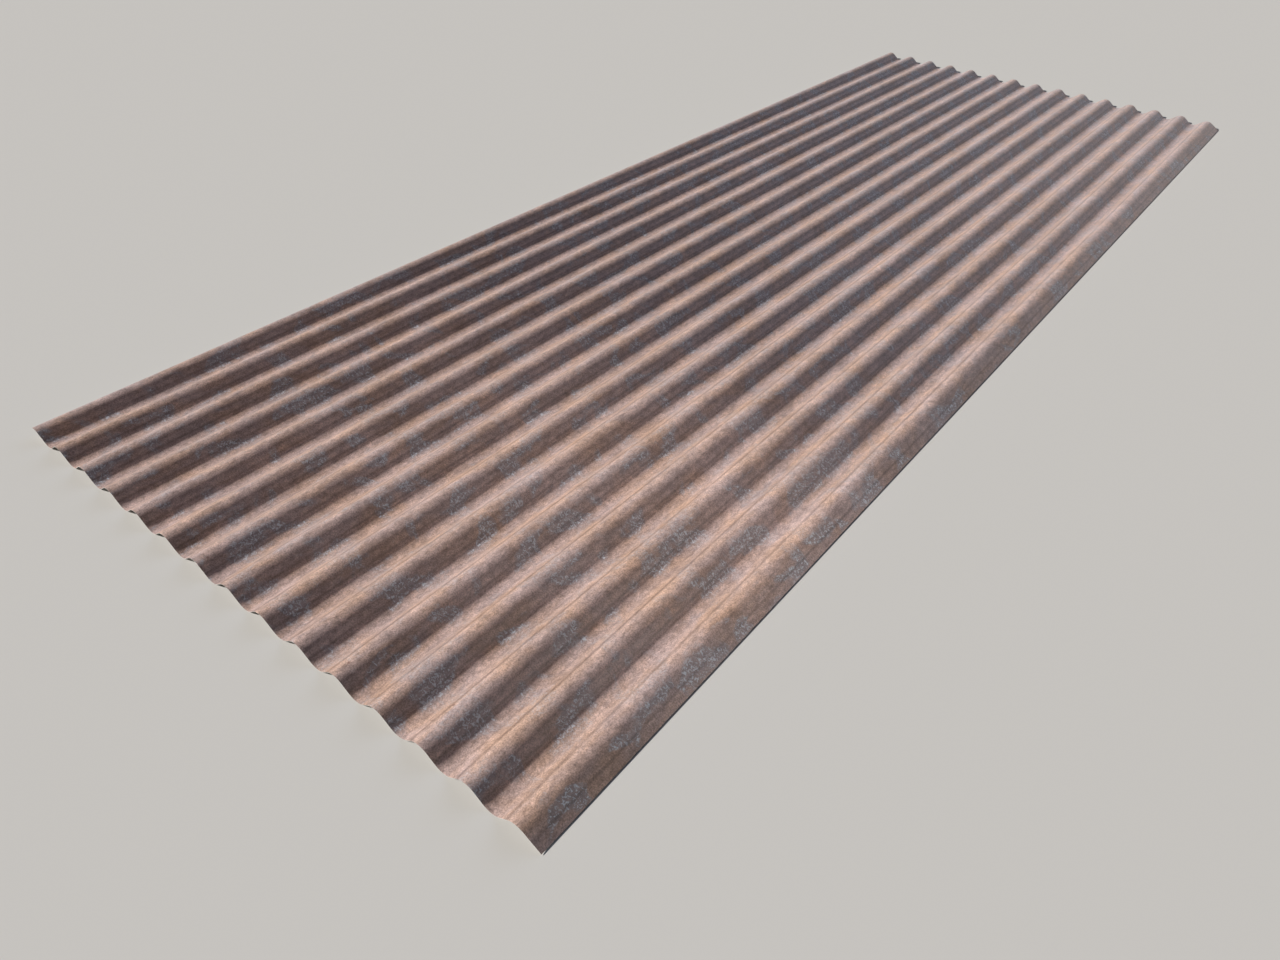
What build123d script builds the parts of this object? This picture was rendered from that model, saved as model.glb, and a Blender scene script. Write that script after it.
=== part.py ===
from build123d import *
from math import atan, cos, degrees, pi, radians, sin, tan
import os

# A roofing and cladding sheet of rolled steel. Sizes are in millimetres.
# X runs across the waves, Y along them and Z up. The sheet lies crests up, its
# valleys rest on Z = 0, and the origin is under its middle.

pitch = 76.0
depth = 18.0
thickness = 0.63
length = 3000.0
crest_count = 15
# The slope of the metal at each long edge, in degrees. The left edge stops just
# past its outer crest. The right edge ends a straight flank, a little flatter than
# the rest, which reaches down to the level of the valleys.
left_edge_tilt = 13.0
right_edge_tilt = 30.0

# The flanks are as steep as a sine wave of this pitch and depth. The bends that
# join them are round, and this radius is the one that meets the flanks smoothly.
slope = atan(pi * depth / pitch)
bend_radius = (pitch / 2 * sin(slope) - depth * cos(slope)) / (2 - 2 * cos(slope))
flank_tilt = degrees(slope)

# Centres of the bends, above the level that the valleys rest on.
crest_centre = thickness / 2 + depth - bend_radius
valley_centre = thickness / 2 + bend_radius

# The last flank, from its crest's bend to where the middle of its metal is one
# thickness above Z = 0.
last_flank_drop = crest_centre + bend_radius * cos(radians(right_edge_tilt)) - thickness
last_flank_run = last_flank_drop / tan(radians(right_edge_tilt))

# The long edges, measured from the middle of the outer crests, and the shift that
# puts the origin under the middle of the whole sheet.
crest_span = (crest_count - 1) * pitch
left_overhang = (bend_radius + thickness / 2) * sin(radians(left_edge_tilt))
right_overhang = (bend_radius + thickness / 2) * sin(radians(right_edge_tilt)) + last_flank_run
first_crest = (left_overhang - crest_span - right_overhang) / 2

crests = [first_crest + index * pitch for index in range(crest_count)]
valleys = [crest + pitch / 2 for crest in crests[:-1]]


def crest_point(crest, radius, tilt):
    """The point of a crest's bend where it slopes by tilt degrees, downwards along X if positive."""
    return (crest + radius * sin(radians(tilt)), crest_centre + radius * cos(radians(tilt)))


def valley_point(valley, radius, tilt):
    """The point of a valley's bend where it slopes by tilt degrees, downwards along X if positive."""
    return (valley - radius * sin(radians(tilt)), valley_centre - radius * cos(radians(tilt)))


def last_flank_end(radius):
    """The end of the last flank, on the face whose crest bends have this radius."""
    x, z = crest_point(crests[-1], radius, right_edge_tilt)
    return (x + last_flank_run, z - last_flank_drop)


os.makedirs("parts", exist_ok=True)

with BuildPart() as corrugated_sheet:
    with BuildSketch(Plane.XZ):
        with BuildLine():
            outer_radius = bend_radius + thickness / 2
            inner_radius = bend_radius - thickness / 2
            for crest_radius, valley_radius in ((outer_radius, inner_radius), (inner_radius, outer_radius)):
                for crest in crests:
                    left_tilt = left_edge_tilt if crest == crests[0] else flank_tilt
                    right_tilt = right_edge_tilt if crest == crests[-1] else flank_tilt
                    CenterArc((crest, crest_centre), crest_radius, 90 - right_tilt, right_tilt + left_tilt)
                for left_crest, valley, right_crest in zip(crests, valleys, crests[1:]):
                    Line(
                        crest_point(left_crest, crest_radius, flank_tilt),
                        valley_point(valley, valley_radius, flank_tilt),
                    )
                    CenterArc((valley, valley_centre), valley_radius, 270 - flank_tilt, 2 * flank_tilt)
                    Line(
                        valley_point(valley, valley_radius, -flank_tilt),
                        crest_point(right_crest, crest_radius, -flank_tilt),
                    )
                Line(crest_point(crests[-1], crest_radius, right_edge_tilt), last_flank_end(crest_radius))
            # The slit long edges are square to the face of the metal.
            Line(
                crest_point(crests[0], outer_radius, -left_edge_tilt),
                crest_point(crests[0], inner_radius, -left_edge_tilt),
            )
            Line(last_flank_end(outer_radius), last_flank_end(inner_radius))
        make_face()
    extrude(amount=length / 2, both=True)

corrugated_sheet.part.label = "corrugated_sheet"
export_step(corrugated_sheet.part, "parts/corrugated_sheet.step")
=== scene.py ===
from math import atan, cos, pi, radians, sin, tan

import bpy
from mathutils import Matrix, Vector


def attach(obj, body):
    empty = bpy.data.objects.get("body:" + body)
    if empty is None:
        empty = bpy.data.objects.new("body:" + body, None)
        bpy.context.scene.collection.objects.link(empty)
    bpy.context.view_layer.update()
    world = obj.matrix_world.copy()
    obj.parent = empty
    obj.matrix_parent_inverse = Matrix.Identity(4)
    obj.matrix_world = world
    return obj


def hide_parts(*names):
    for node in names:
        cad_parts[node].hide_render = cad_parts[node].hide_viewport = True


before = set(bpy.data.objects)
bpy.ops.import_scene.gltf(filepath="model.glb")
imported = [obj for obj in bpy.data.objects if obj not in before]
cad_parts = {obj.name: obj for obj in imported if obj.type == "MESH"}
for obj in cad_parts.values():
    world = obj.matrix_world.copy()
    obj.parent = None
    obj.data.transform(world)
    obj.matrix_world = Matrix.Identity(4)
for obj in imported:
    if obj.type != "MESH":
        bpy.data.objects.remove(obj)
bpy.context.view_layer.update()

# The rolled profile, in metres, as the CAD has it.
PITCH = 0.076
DEPTH = 0.018
THICKNESS = 0.00063
LENGTH = 3.0
CRESTS = 15
LEFT_EDGE_TILT = radians(13)
RIGHT_EDGE_TILT = radians(30)
# Kept off each face, so that the finer mesh stays in the CAD model's box.
INSET = 0.00006

# How finely the mesh follows the profile.
BEND_STEPS = 10
FEWEST_BEND_STEPS = 2
FLANK_STEPS = 3
LAST_FLANK_STEPS = 6
LENGTH_STEPS = 60

# The sheet's material slots.
COAT, BACKING, CUT = 0, 1, 2

SLOPE = atan(pi * DEPTH / PITCH)
BEND = (PITCH / 2 * sin(SLOPE) - DEPTH * cos(SLOPE)) / (2 - 2 * cos(SLOPE))
CREST_CENTRE = THICKNESS / 2 + DEPTH - BEND
VALLEY_CENTRE = THICKNESS / 2 + BEND
LAST_DROP = CREST_CENTRE + BEND * cos(RIGHT_EDGE_TILT) - THICKNESS
LAST_RUN = LAST_DROP / tan(RIGHT_EDGE_TILT)
LEFT_OVERHANG = (BEND + THICKNESS / 2) * sin(LEFT_EDGE_TILT)
RIGHT_OVERHANG = (BEND + THICKNESS / 2) * sin(RIGHT_EDGE_TILT) + LAST_RUN
FIRST_CREST = (LEFT_OVERHANG - (CRESTS - 1) * PITCH - RIGHT_OVERHANG) / 2


def middle_line():
    """Points along the middle of the metal, from the left edge to the right: (x, z, slope angle)."""
    points = []

    def bend(x, centre, side, start, end):
        steps = max(FEWEST_BEND_STEPS, round(BEND_STEPS * abs(end - start) / (2 * SLOPE)))
        for step in range(steps + 1):
            tilt = start + (end - start) * step / steps
            points.append((x - side * BEND * sin(tilt), centre + side * BEND * cos(tilt), tilt))

    def flank(x, z, steps):
        from_x, from_z, tilt = points[-1]
        for step in range(1, steps + 1):
            share = step / steps
            points.append((from_x + (x - from_x) * share, from_z + (z - from_z) * share, tilt))

    # The last point of a flank is taken off again where the next bend starts with it.
    for index in range(CRESTS):
        crest = FIRST_CREST + index * PITCH
        valley = crest + PITCH / 2
        first = index == 0
        last = index == CRESTS - 1
        bend(crest, CREST_CENTRE, 1, LEFT_EDGE_TILT if first else SLOPE, -RIGHT_EDGE_TILT if last else -SLOPE)
        if last:
            flank(points[-1][0] + LAST_RUN, points[-1][1] - LAST_DROP, LAST_FLANK_STEPS)
            break
        flank(valley - BEND * sin(SLOPE), VALLEY_CENTRE - BEND * cos(SLOPE), FLANK_STEPS)
        points.pop()
        bend(valley, VALLEY_CENTRE, -1, -SLOPE, SLOPE)
        flank(valley + PITCH / 2 - BEND * sin(SLOPE), CREST_CENTRE + BEND * cos(SLOPE), FLANK_STEPS)
        points.pop()
    return points


def sheet_mesh():
    """The whole sheet: rows of points across it, the upper face's first and then the lower's."""
    line = middle_line()
    half = THICKNESS / 2 - INSET
    across = len(line)
    row_size = 2 * across
    vertices = []
    for row in range(LENGTH_STEPS + 1):
        y = -LENGTH / 2 + LENGTH * row / LENGTH_STEPS
        for side in (half, -half):
            for x, z, tilt in line:
                vertices.append((x - side * sin(tilt), y, z + side * cos(tilt)))
    faces = []
    slots = []

    def add(corners, slot):
        faces.append(corners)
        slots.append(slot)

    last = across - 1
    for row in range(LENGTH_STEPS):
        near = row * row_size
        far = near + row_size
        for i in range(last):
            add((near + i, near + i + 1, far + i + 1, far + i), COAT)
            add((near + across + i + 1, near + across + i, far + across + i, far + across + i + 1), BACKING)
        add((near + across, near, far, far + across), CUT)
        add((near + last, near + across + last, far + across + last, far + last), CUT)
    far = LENGTH_STEPS * row_size
    for i in range(last):
        add((across + i, across + i + 1, i + 1, i), CUT)
        add((far + i, far + i + 1, far + across + i + 1, far + across + i), CUT)
    mesh = bpy.data.meshes.new("coated_sheet")
    mesh.from_pydata(vertices, [], faces)
    mesh.polygons.foreach_set("material_index", slots)
    mesh.polygons.foreach_set("use_smooth", [slot != CUT for slot in slots])
    mesh.update()
    # The cut edges meet the faces sharply.
    sharp = {key for polygon in mesh.polygons if polygon.material_index == CUT for key in polygon.edge_keys}
    for edge in mesh.edges:
        edge.use_edge_sharp = edge.key in sharp
    return mesh


def new_material(name, base, roughness):
    material = bpy.data.materials.new(name)
    material.use_nodes = True
    shader = material.node_tree.nodes["Principled BSDF"]
    shader.inputs["Base Color"].default_value = (*base, 1)
    shader.inputs["Roughness"].default_value = roughness
    return material


class Graph:
    """Short calls for the nodes of a material or the world."""

    # The colour sockets of a Mix node, by number, as their names come more than once.
    MIX_FIRST, MIX_SECOND, MIX_RESULT = 6, 7, 2
    # Most of a noise's values lie in this range.
    NOISE_LOW, NOISE_HIGH = 0.3, 0.7

    def __init__(self, owner, shader="Principled BSDF", coords="Object"):
        self.tree = owner.node_tree
        self.shader = self.tree.nodes[shader]
        self.coords = self.tree.nodes.new("ShaderNodeTexCoord").outputs[coords]

    def put(self, socket, value):
        if isinstance(value, bpy.types.NodeSocket):
            self.tree.links.new(value, socket)
        elif isinstance(value, tuple) and len(value) == 3 and socket.type == "RGBA":
            socket.default_value = (*value, 1)
        else:
            socket.default_value = value

    def math(self, operation, *values):
        node = self.tree.nodes.new("ShaderNodeMath")
        node.operation = operation
        for socket, value in zip(node.inputs, values):
            self.put(socket, value)
        return node.outputs[0]

    def separate(self):
        """The coordinates, one by one."""
        node = self.tree.nodes.new("ShaderNodeSeparateXYZ")
        self.put(node.inputs[0], self.coords)
        return node.outputs

    def shifted(self, shift, stretch=(1.0, 1.0, 1.0)):
        node = self.tree.nodes.new("ShaderNodeMapping")
        self.put(node.inputs["Vector"], self.coords)
        node.inputs["Location"].default_value = shift
        node.inputs["Scale"].default_value = stretch
        return node.outputs[0]

    def noise(self, scale, detail, roughness, distortion=0.0, coords=None):
        node = self.tree.nodes.new("ShaderNodeTexNoise")
        self.put(node.inputs["Vector"], self.coords if coords is None else coords)
        node.inputs["Scale"].default_value = scale
        node.inputs["Detail"].default_value = detail
        node.inputs["Roughness"].default_value = roughness
        node.inputs["Distortion"].default_value = distortion
        return node.outputs["Fac"]

    def cells(self, scale, coords):
        """Distance to the nearest cell's middle, in cells, and the cell's own random value."""
        node = self.tree.nodes.new("ShaderNodeTexVoronoi")
        self.put(node.inputs["Vector"], coords)
        node.inputs["Scale"].default_value = scale
        split = self.tree.nodes.new("ShaderNodeSeparateColor")
        self.put(split.inputs[0], node.outputs["Color"])
        return node.outputs["Distance"], split.outputs[0]

    def map_range(self, value, low, high, to_low, to_high):
        node = self.tree.nodes.new("ShaderNodeMapRange")
        for name, item in (
            ("Value", value), ("From Min", low), ("From Max", high), ("To Min", to_low), ("To Max", to_high),
        ):
            self.put(node.inputs[name], item)
        return node

    def ramp(self, value, low, high, to_low=0.0, to_high=1.0):
        """A smooth step from to_low at low to to_high at high."""
        node = self.map_range(value, low, high, to_low, to_high)
        node.interpolation_type = "SMOOTHSTEP"
        return node.outputs[0]

    def span(self, noise, to_low, to_high):
        """Noise set to a range, in a straight line and past its ends too."""
        node = self.map_range(noise, self.NOISE_LOW, self.NOISE_HIGH, to_low, to_high)
        node.clamp = False
        return node.outputs[0]

    def mix(self, factor, first, second):
        node = self.tree.nodes.new("ShaderNodeMix")
        node.data_type = "RGBA"
        self.put(node.inputs["Factor"], factor)
        self.put(node.inputs[self.MIX_FIRST], first)
        self.put(node.inputs[self.MIX_SECOND], second)
        return node.outputs[self.MIX_RESULT]

    def times(self, colour, factor):
        """A colour made lighter or darker by a plain number."""
        node = self.tree.nodes.new("ShaderNodeVectorMath")
        node.operation = "SCALE"
        self.put(node.inputs[0], colour)
        self.put(node.inputs["Scale"], factor)
        return node.outputs[0]

    def dress(self, colour, roughness, height, relief):
        """Set the shader's colour and roughness, and bumps that stand relief metres high at a height of 1."""
        bump = self.tree.nodes.new("ShaderNodeBump")
        bump.inputs["Distance"].default_value = relief
        self.put(bump.inputs["Height"], height)
        self.put(self.shader.inputs["Base Color"], colour)
        self.put(self.shader.inputs["Roughness"], roughness)
        self.put(self.shader.inputs["Normal"], bump.outputs[0])


def wave_offset(graph):
    """Distance across the waves from the nearest crest, in metres."""
    x = graph.separate()["X"]
    return graph.math("WRAP", graph.math("SUBTRACT", x, FIRST_CREST), PITCH / 2, -PITCH / 2)


def rust_coat():
    """Factory coat with a mottled rust look: warm and greyer areas, clouds and grain, slate patches, dark
    spots, and soft darker lines along the flanks. Some of it is painted light: warmer on the flank facing the
    key, slate patches mostly on the shaded flanks, and one painted shadow line."""
    tan_colour, pink_grey = (0.470, 0.302, 0.222), (0.412, 0.300, 0.276)
    slate, pale_slate_and_sheen = (0.27, 0.255, 0.285), (0.66, 0.68, 0.73)
    dark_red_brown = (0.17, 0.075, 0.055)
    material = new_material("rust_coat", (0.42, 0.29, 0.25), 0.42)
    material.node_tree.nodes["Principled BSDF"].inputs["IOR"].default_value = 1.6
    graph = Graph(material)
    # Noises, from the broadest to the finest. Some are drawn out along the waves.
    along = (1.0, 0.4, 1.0)
    broad = graph.noise(7.0, 2.0, 0.5)
    patch = graph.noise(30.0, 4.0, 0.6, 0.4, graph.shifted((3.1, 7.3, 1.7), along))
    cloud = graph.noise(50.0, 3.0, 0.6, 0.2, graph.shifted((7.7, 1.9, 3.8), along))
    mottle = graph.noise(150.0, 3.0, 0.6, 0.3, graph.shifted((5.9, 2.2, 8.1), (1.0, 0.6, 1.0)))
    grain = graph.noise(520.0, 2.0, 0.7, 0.0, graph.shifted((1.3, 4.4, 6.2)))

    # Warm tan going over to a greyer pink at random. On top of that the coat is made warmest just left of the
    # crests, on the flank that faces the key, and greyer away from it: painted light.
    painted_warm_place = -0.013
    offset = wave_offset(graph)
    greyness_and_painted_light = graph.math("ADD", graph.span(patch, 0.1, 0.9), graph.span(broad, -0.15, 0.15))
    from_painted_warm_place = graph.math("ABSOLUTE", graph.math("SUBTRACT", offset, painted_warm_place))
    greyness_and_painted_light = graph.math("ADD", greyness_and_painted_light, graph.ramp(from_painted_warm_place, 0.003, 0.020, -0.15, 0.15))
    colour = graph.mix(graph.ramp(greyness_and_painted_light, 0.0, 1.0), tan_colour, pink_grey)
    # Lighter and darker, from broad clouds down to the grain.
    for noise, change in ((broad, 0.10), (cloud, 0.16), (mottle, 0.24), (grain, 0.40)):
        colour = graph.times(colour, graph.span(noise, 1 - change, 1 + change))

    # Slate patches with paler curls in them, mostly on the flanks that face right, away from the key, which
    # lie between these distances from the crests. They are a real mottle put where the shade is, so the
    # darker slate there is partly painted shade, and the pale curls are partly painted sheen of sky on glossy
    # specks.
    flank = graph.math("MULTIPLY", graph.ramp(offset, 0.004, 0.014), graph.ramp(offset, 0.038, 0.030))
    cluster = graph.noise(24.0, 2.0, 0.5, 0.6, graph.shifted((9.4, 0.6, 2.5), (1.0, 0.7, 1.0)))
    cluster = graph.math("MULTIPLY", graph.ramp(cluster, 0.51, 0.60), graph.ramp(flank, 0.0, 1.0, 0.25, 1.0))
    curl = graph.noise(230.0, 3.0, 0.65, 1.2, graph.shifted((0.8, 5.1, 9.6)))
    curl = graph.math("MULTIPLY", graph.ramp(curl, 0.525, 0.59), cluster)
    colour = graph.mix(graph.math("MULTIPLY", cluster, 0.50), colour, slate)
    colour = graph.mix(graph.math("MULTIPLY", curl, 0.90), colour, pale_slate_and_sheen)

    # Small dark spots, in about a quarter of the cells.
    distance, chance = graph.cells(34.0, graph.shifted((2.7, 3.3, 0.0)))
    spot = graph.math("MULTIPLY", graph.ramp(distance, 0.085, 0.045), graph.ramp(chance, 0.72, 0.75))
    colour = graph.mix(graph.math("MULTIPLY", spot, 0.65), colour, dark_red_brown)

    # Soft darker lines along the flanks: how far each is from the crest, how far it reaches to either side,
    # and how much it takes off the colour where it is faintest and strongest. The line 23.5 mm past the
    # crest, at the foot of the flank that faces away from the key, is painted shadow.
    line_strength = graph.noise(14.0, 3.0, 0.6, 0.0, graph.shifted((0.0, 0.0, 0.0), (1.0, 0.25, 1.0)))
    for place, reach, least, most in (
        (-0.0150, 0.0042, 0.26, 0.46),
        (-0.0305, 0.0036, 0.06, 0.16),
        # Painted shadow at the foot of the shaded flank.
        (0.0235, 0.0028, 0.20, 0.40),
        (0.0140, 0.0030, 0.00, 0.12),
    ):
        line = graph.ramp(graph.math("ABSOLUTE", graph.math("SUBTRACT", offset, place)), reach, 0.0)
        loss = graph.math("MULTIPLY", line, graph.span(line_strength, least, most))
        colour = graph.times(colour, graph.math("SUBTRACT", 1.0, loss))

    roughness = graph.math("ADD", graph.span(mottle, 0.37, 0.47), graph.span(grain, -0.05, 0.05))
    height = graph.math("ADD", grain, graph.math("MULTIPLY", mottle, 0.8))
    graph.dress(colour, roughness, height, 0.00008)
    return material


def backing_coat():
    """Thin, matt, light grey coat of the underside, with faint clouds, rust smears and scuffs."""
    cool_grey, warm_grey = (0.51, 0.515, 0.50), (0.58, 0.57, 0.545)
    rust_smear, scuffed_grey = (0.38, 0.30, 0.25), (0.40, 0.40, 0.39)
    material = new_material("backing_coat", (0.55, 0.55, 0.53), 0.6)
    graph = Graph(material)
    cloud = graph.noise(9.0, 3.0, 0.6)
    grain = graph.noise(420.0, 2.0, 0.7, 0.0, graph.shifted((4.1, 1.2, 6.6)))
    colour = graph.mix(cloud, cool_grey, warm_grey)
    colour = graph.times(colour, graph.span(grain, 0.93, 1.07))
    smear = graph.noise(16.0, 4.0, 0.6, 0.3, graph.shifted((8.3, 5.5, 0.7), (1.0, 0.3, 1.0)))
    smear = graph.math("MULTIPLY", graph.ramp(smear, 0.56, 0.74), 0.35)
    colour = graph.mix(smear, colour, rust_smear)
    # Scuffs along the valleys, which the sheet rests on.
    scuff = graph.noise(160.0, 2.0, 0.6, 0.2, graph.shifted((2.2, 9.1, 4.0), (1.0, 0.06, 1.0)))
    valley = graph.ramp(graph.math("ABSOLUTE", wave_offset(graph)), 0.026, 0.036)
    scuff = graph.math("MULTIPLY", graph.math("MULTIPLY", graph.ramp(scuff, 0.55, 0.66), valley), 0.5)
    colour = graph.mix(scuff, colour, scuffed_grey)
    graph.dress(colour, graph.span(grain, 0.52, 0.66), grain, 0.00004)
    return material


def cut_edge():
    """Sheared metal: bright zinc and steel with fine streaks and a few rust flecks."""
    bright, tarnished, rust = (0.64, 0.63, 0.60), (0.48, 0.46, 0.43), (0.30, 0.15, 0.08)
    material = new_material("cut_edge", (0.60, 0.59, 0.56), 0.4)
    graph = Graph(material)
    streak = graph.noise(900.0, 2.0, 0.7)
    tarnish = graph.noise(60.0, 3.0, 0.6, 0.0, graph.shifted((6.0, 2.0, 1.0)))
    colour = graph.mix(graph.ramp(tarnish, 0.35, 0.70), bright, tarnished)
    colour = graph.times(colour, graph.span(streak, 0.85, 1.15))
    fleck = graph.noise(140.0, 3.0, 0.6, 0.0, graph.shifted((1.5, 7.5, 3.5)))
    fleck = graph.math("MULTIPLY", graph.ramp(fleck, 0.60, 0.68), 0.7)
    colour = graph.mix(fleck, colour, rust)
    graph.dress(colour, graph.span(streak, 0.34, 0.50), streak, 0.00003)
    return material


mesh = sheet_mesh()
# In the order of the slots.
for material in (rust_coat(), backing_coat(), cut_edge()):
    mesh.materials.append(material)
piece = bpy.data.objects.new("coated_sheet", mesh)
bpy.context.collection.objects.link(piece)
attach(piece, "root")
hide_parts("corrugated_sheet")

# A wide floor, just under the sheet.
FLOOR_REACH = 40.0
FLOOR_LEVEL = -0.0005
floor_mesh = bpy.data.meshes.new("floor")
floor_corners = [(x * FLOOR_REACH, y * FLOOR_REACH, 0) for x, y in ((-1, -1), (1, -1), (1, 1), (-1, 1))]
floor_mesh.from_pydata(floor_corners, [], [(0, 1, 2, 3)])
floor = bpy.data.objects.new("floor", floor_mesh)
floor.location.z = FLOOR_LEVEL
bpy.context.collection.objects.link(floor)
floor_material = new_material("floor", (0.62, 0.60, 0.57), 0.9)
floor_material.node_tree.nodes["Principled BSDF"].inputs["Specular IOR Level"].default_value = 0
floor_mesh.materials.append(floor_material)

# A sun-like key from the near left.
lamp = bpy.data.lights.new("key", "SUN")
lamp.energy = 5.45
lamp.angle = 0.03
lamp.color = (1.0, 0.98, 0.95)
key = bpy.data.objects.new("key", lamp)
key.rotation_euler = Vector((-0.669, -0.542, 0.472)).to_track_quat("Z", "Y").to_euler()
bpy.context.collection.objects.link(key)

# The soft lamps light the sheet alone, so that they leave no pool of light on the floor.
lit_alone = bpy.data.collections.new("lit_by_soft_lamps")
lit_alone.objects.link(piece)


def soft_lamp(name, place, aim, width, height, energy, colour, spread):
    lamp = bpy.data.lights.new(name, "AREA")
    lamp.shape = "RECTANGLE"
    lamp.size = width
    lamp.size_y = height
    lamp.energy = energy
    lamp.color = colour
    lamp.spread = spread
    fill = bpy.data.objects.new(name, lamp)
    fill.location = place
    fill.rotation_euler = (Vector(place) - Vector(aim)).to_track_quat("Z", "Y").to_euler()
    fill.visible_camera = False
    fill.light_linking.receiver_collection = lit_alone
    bpy.context.collection.objects.link(fill)


# One at the near right corner, and a long one along the right side.
soft_lamp(
    "near_fill", place=(1.9, -0.5, 1.15), aim=(0.27, -1.01, 0.0), width=0.4, height=0.4,
    energy=0.29, colour=(1.0, 0.90, 0.80), spread=radians(28),
)
soft_lamp(
    "side_fill", place=(1.75, 0.45, 0.55), aim=(0.3, 0.45, 0.0), width=2.2, height=0.3,
    energy=2.3, colour=(1.0, 0.94, 0.96), spread=radians(180),
)

# The colour that the camera sees beyond the floor, which is like the floor.
BACKDROP = (0.59, 0.57, 0.54)

world = bpy.data.worlds.new("studio")
bpy.context.scene.world = world
world.use_nodes = True
studio = Graph(world, "Background", "Generated")
# The world lights the sheet with a soft glow beyond the far end. It falls off all round from
# its middle, 20 degrees above the floor.
glow_tilt = radians(20)
glow_focus = 10.0
toward = studio.tree.nodes.new("ShaderNodeVectorMath")
toward.operation = "DOT_PRODUCT"
studio.put(toward.inputs[0], studio.coords)
studio.put(toward.inputs[1], (0.0, cos(glow_tilt), sin(glow_tilt)))
falloff = studio.math("POWER", studio.math("MAXIMUM", toward.outputs["Value"], 0.0), glow_focus)
glow = studio.times((1.22, 1.46, 1.92), falloff)


def surround_side(height, pale):
    """Like the floor at its foot, paler just above and dark towards the top."""
    foot, middle, top = 0.0, 0.12, 0.6
    dark = (0.03, 0.035, 0.045)
    ramp = studio.tree.nodes.new("ShaderNodeValToRGB")
    elements = ramp.color_ramp.elements
    elements.new(middle)
    for element, place, colour in zip(elements, (foot, middle, top), (BACKDROP, pale, dark)):
        element.position = place
        element.color = (*colour, 1)
    studio.put(ramp.inputs["Fac"], height)
    return ramp.outputs["Color"]


# Reflections see a surround that is cooler to the left than to the right.
direction = studio.separate()
cool = surround_side(direction["Z"], (0.80, 1.06, 1.36))
warm = surround_side(direction["Z"], (1.32, 1.22, 1.20))
surround = studio.mix(studio.ramp(direction["X"], -0.35, 0.25), cool, warm)
ray = studio.tree.nodes.new("ShaderNodeLightPath").outputs
reflected = studio.math("MAXIMUM", ray["Is Glossy Ray"], ray["Is Transmission Ray"])
light = studio.mix(reflected, glow, surround)
studio.put(studio.shader.inputs["Color"], studio.mix(ray["Is Camera Ray"], light, BACKDROP))

# The photo's camera, as it was solved: its focal length in pixels, its place and its axes.
PHOTO_WIDTH = 1280
FOCAL_LENGTH = 914.85
camera_place = Vector((0.91261, -1.83088, 0.91089))
right = Vector((0.782026, 0.622548, 0.029499))
down = Vector((0.415579, -0.485595, -0.769084))
forward = Vector((-0.464467, 0.613703, -0.638466))
camera_data = bpy.data.cameras.new("camera")
camera_data.sensor_width = 36.0
camera_data.lens = camera_data.sensor_width * FOCAL_LENGTH / PHOTO_WIDTH
camera_data.clip_end = 200
camera = bpy.data.objects.new("camera", camera_data)
camera.matrix_world = Matrix((
    (right.x, -down.x, -forward.x, camera_place.x),
    (right.y, -down.y, -forward.y, camera_place.y),
    (right.z, -down.z, -forward.z, camera_place.z),
    (0, 0, 0, 1),
))
bpy.context.collection.objects.link(camera)
bpy.context.scene.camera = camera
bpy.context.scene.view_settings.view_transform = "Standard"
